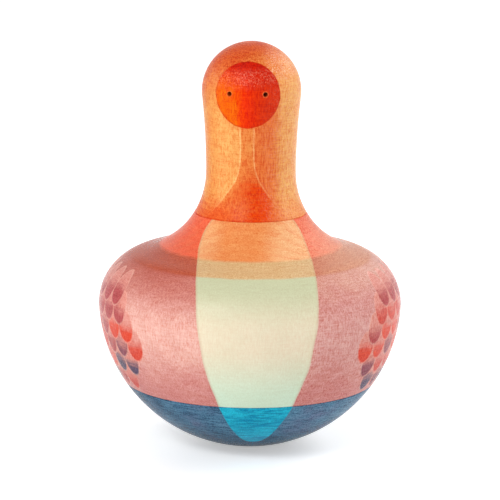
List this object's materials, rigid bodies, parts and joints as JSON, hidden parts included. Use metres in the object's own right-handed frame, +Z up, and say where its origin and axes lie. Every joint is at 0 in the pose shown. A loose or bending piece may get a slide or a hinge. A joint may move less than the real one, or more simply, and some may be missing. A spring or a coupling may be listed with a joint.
{
  "type": "roly poly toy",
  "caption": "Turned wooden roly-poly bird: a domed head and neck on a wide ball-shaped body, with a hidden steel weight low in the base so that it rocks back upright.",
  "frame": {"origin": "middle of the small flat under the rounded base, where the toy stands", "axes": "+Z up along the turning axis to the crown of the head, -Y towards the face"},
  "size_m": [0.0998, 0.0998, 0.134],
  "materials": {
    "head_wood": "orange water stain over fine-grained wood, with a red round face, satin oil",
    "wedge_wood": "plain riven hardwood",
    "body_wood": "banded water stain from peach to rose over fine-grained wood, satin oil",
    "base_wood": "blue water stain over fine-grained wood, satin oil",
    "ballast_steel": "punched and zinc plated",
    "fastener_steel": "bright zinc plated"
  },
  "bodies": {
    "root": {"head_neck": "head_wood", "tenon_wedge": "wedge_wood", "body_shell": "body_wood", "rocker_base": "base_wood", "ballast_plate_1": "ballast_steel", "ballast_plate_2": "ballast_steel", "ballast_plate_3": "ballast_steel", "ballast_plate_4": "ballast_steel", "clamp_washer": "fastener_steel", "ballast_screw": "fastener_steel"}
  },
  "joints": []
}
